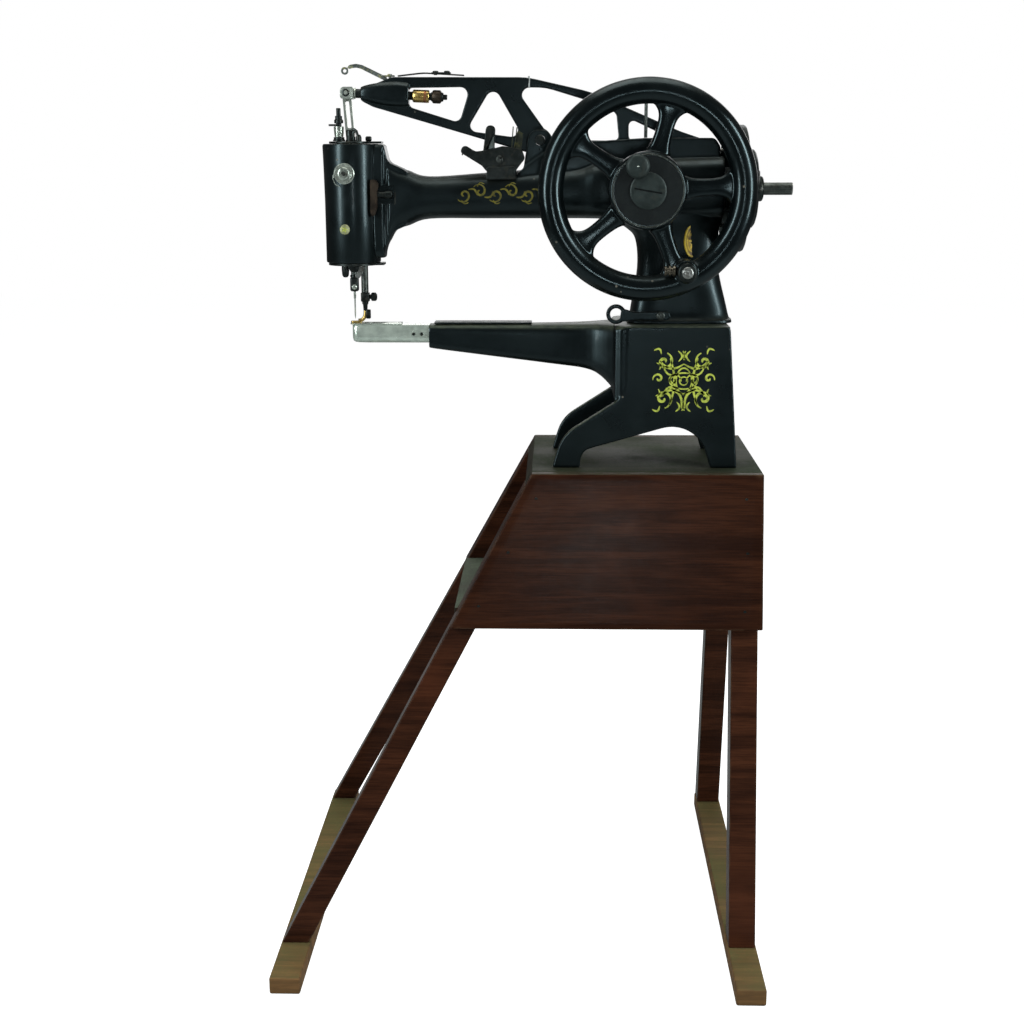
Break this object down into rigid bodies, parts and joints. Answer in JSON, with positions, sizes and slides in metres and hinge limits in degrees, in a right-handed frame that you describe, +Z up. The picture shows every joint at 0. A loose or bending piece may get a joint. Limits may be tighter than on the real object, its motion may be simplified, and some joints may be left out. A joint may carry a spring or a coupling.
{
  "type": "cylinder-arm patching sewing machine on a stand",
  "caption": "Hand-cranked cylinder-arm leather patching machine with walking beam, turning head and large front wheel, on a splayed wooden stand.",
  "frame": {"origin": "on the floor under the middle of the whole object's bounding box", "axes": "+Z up; +X towards the bare end of the main shaft, away from the needle; +Y away from the operator, who faces the hand wheel"},
  "size_m": [0.632, 0.5736, 1.0903],
  "materials": {
    "stained_wood": "dark mahogany stain, worn satin varnish",
    "dusty_wood": "unpolished timber under a film of grey-green dust",
    "japan": "glossy black japan with dust and rubbed edges",
    "bright_steel": "worn bright steel",
    "nickel": "polished nickel with light tarnish",
    "dark_steel": "blackened oily steel",
    "brown_steel": "worn steel with brown patina",
    "brass": "aged brass"
  },
  "bodies": {
    "machine_frame": {"stand_top_board": "dusty_wood", "stand_front_panel": "stained_wood", "stand_rear_panel": "stained_wood", "stand_shelf": "dusty_wood", "leg_front_left": "stained_wood", "leg_front_right": "stained_wood", "leg_rear_left": "stained_wood", "leg_rear_right": "stained_wood", "runner_left": "dusty_wood", "runner_right": "dusty_wood", "base_casting": "japan", "arm_cover_plate": "japan", "arm_tip_shell": "nickel", "needle_plate": "nickel", "arm_casting": "japan", "beam_pivot_pin": "bright_steel", "rear_cover_plate": "japan", "wheel_bearing": "bright_steel", "shaft_bearing": "bright_steel", "spool_pin": "bright_steel", "head_barrel": "japan", "head_lower_plate": "dark_steel", "head_upper_plate": "dark_steel", "tension_stud": "bright_steel", "tension_disc": "nickel", "thread_bracket": "dark_steel", "lift_lever_screw": "bright_steel"},
    "slide_plate": {"slide_plate": "nickel"},
    "hand_wheel": {"hand_wheel": "japan", "wheel_shaft": "bright_steel", "hub_screw": "dark_steel", "crank_screw": "bright_steel"},
    "stop_knob": {"stop_knob": "dark_steel"},
    "crank_sleeve": {"crank_sleeve": "brown_steel"},
    "main_shaft": {"main_shaft": "bright_steel", "cam_disc": "japan", "shaft_collar": "dark_steel"},
    "shuttle_lever": {"shuttle_lever": "dark_steel"},
    "shuttle_rack": {"shuttle_rack": "bright_steel"},
    "shuttle": {"shuttle": "bright_steel"},
    "walking_beam": {"walking_beam": "japan", "thread_hook": "nickel", "leaf_spring": "bright_steel"},
    "needle_rod": {"needle_rod": "dark_steel", "brass_sleeve": "brass", "rod_nut": "dark_steel"},
    "needle_link": {"needle_link": "nickel"},
    "needle_swivel": {"needle_swivel": "dark_steel"},
    "revolving_head": {"revolving_bushing": "dark_steel", "presser_spring": "bright_steel"},
    "needle_bar": {"needle_bar": "nickel", "needle_clamp": "dark_steel", "needle": "nickel"},
    "presser_bar": {"presser_bar": "bright_steel", "foot_clamp": "dark_steel", "presser_foot": "brass"},
    "tension_nut": {"tension_nut": "nickel"},
    "pressure_screw": {"pressure_screw": "dark_steel"},
    "feed_slide": {"feed_slide": "brown_steel"},
    "lift_lever": {"lift_lever": "japan"}
  },
  "joints": [
    {"name": "wheel_turn", "type": "hinge", "parent": "machine_frame", "child": "hand_wheel", "pos_m": [0.1324, -0.0752, 0.9398], "axis": [0, 1, 0], "continuous": true},
    {"name": "stop_knob_pull", "type": "slide", "parent": "hand_wheel", "child": "stop_knob", "axis": [0, -1, 0], "range_m": [0, 0.006]},
    {"name": "crank_sleeve_spin", "type": "hinge", "parent": "hand_wheel", "child": "crank_sleeve", "pos_m": [0.1789, -0.0992, 0.8462], "axis": [0, 1, 0], "continuous": true},
    {"name": "main_shaft_turn", "type": "hinge", "parent": "machine_frame", "child": "main_shaft", "pos_m": [0.2314, 0.0188, 0.9398], "axis": [1, 0, 0], "continuous": true},
    {"name": "shuttle_lever_rock", "type": "hinge", "parent": "machine_frame", "child": "shuttle_lever", "pos_m": [0.1814, 0.0188, 0.859], "axis": [0, 1, 0], "range_deg": [-2.2, 2.2]},
    {"name": "rack_travel", "type": "slide", "parent": "machine_frame", "child": "shuttle_rack", "axis": [1, 0, 0], "range_m": [-0.004, 0.004]},
    {"name": "shuttle_turn", "type": "hinge", "parent": "machine_frame", "child": "shuttle", "pos_m": [-0.2181, 0.0188, 0.756], "axis": [0, 0, 1], "range_deg": [-37, 37]},
    {"name": "beam_rock", "type": "hinge", "parent": "machine_frame", "child": "walking_beam", "pos_m": [0.0044, 0.0188, 0.999], "axis": [0, 1, 0], "range_deg": [-5.25, 3.34]},
    {"name": "rod_slide", "type": "slide", "parent": "walking_beam", "child": "needle_rod", "axis": [0.999, 0, -0.0454], "range_m": [-0.004, 0.006]},
    {"name": "link_swing", "type": "hinge", "parent": "needle_rod", "child": "needle_link", "pos_m": [-0.2336, 0.0188, 1.056], "axis": [0, 1, 0], "range_deg": [-5.4, 5.4]},
    {"name": "swivel_travel", "type": "slide", "parent": "machine_frame", "child": "needle_swivel", "axis": [0, 0, 1], "range_m": [-0.022, 0.0145]},
    {"name": "head_turn", "type": "hinge", "parent": "machine_frame", "child": "revolving_head", "pos_m": [-0.2296, 0.0188, 0.8505], "axis": [0, 0, 1], "continuous": true},
    {"name": "needle_bar_travel", "type": "slide", "parent": "revolving_head", "child": "needle_bar", "axis": [0, 0, 1], "range_m": [-0.022, 0.0145]},
    {"name": "presser_lift", "type": "slide", "parent": "revolving_head", "child": "presser_bar", "axis": [0, 0, 1], "range_m": [0, 0.008], "stiffness_N_per_m": 1500, "springref_m": -0.006, "deforming": ["presser_spring"]},
    {"name": "tension_nut_turn", "type": "hinge", "parent": "machine_frame", "child": "tension_nut", "pos_m": [-0.2341, -0.0267, 0.9595], "axis": [0, 1, 0], "continuous": true},
    {"name": "pressure_screw_turn", "type": "hinge", "parent": "machine_frame", "child": "pressure_screw", "pos_m": [-0.2441, 0.0188, 0.995], "axis": [0, 0, 1], "continuous": true},
    {"name": "feed_adjust", "type": "slide", "parent": "machine_frame", "child": "feed_slide", "axis": [0, 0, 1], "range_m": [-0.004, 0.004]},
    {"name": "slide_plate_open", "type": "slide", "parent": "machine_frame", "child": "slide_plate", "axis": [1, 0, 0], "range_m": [0, 0.03]},
    {"name": "lift_lever_swing", "type": "hinge", "parent": "machine_frame", "child": "lift_lever", "pos_m": [0.1534, -0.0292, 0.788], "axis": [0, 1, 0], "range_deg": [0, 20]}
  ],
  "couplings": [
    {"joint": "main_shaft_turn", "follows": "wheel_turn", "ratio": 1},
    {"joint": "rack_travel", "follows": "shuttle_lever_rock", "m_per_rad": -0.1035},
    {"joint": "shuttle_turn", "follows": "shuttle_lever_rock", "ratio": -16.694},
    {"joint": "rod_slide", "follows": "beam_rock", "m_per_rad": -0.053},
    {"joint": "link_swing", "follows": "beam_rock", "ratio": -1},
    {"joint": "swivel_travel", "follows": "beam_rock", "m_per_rad": 0.238},
    {"joint": "needle_bar_travel", "follows": "beam_rock", "m_per_rad": 0.238}
  ]
}
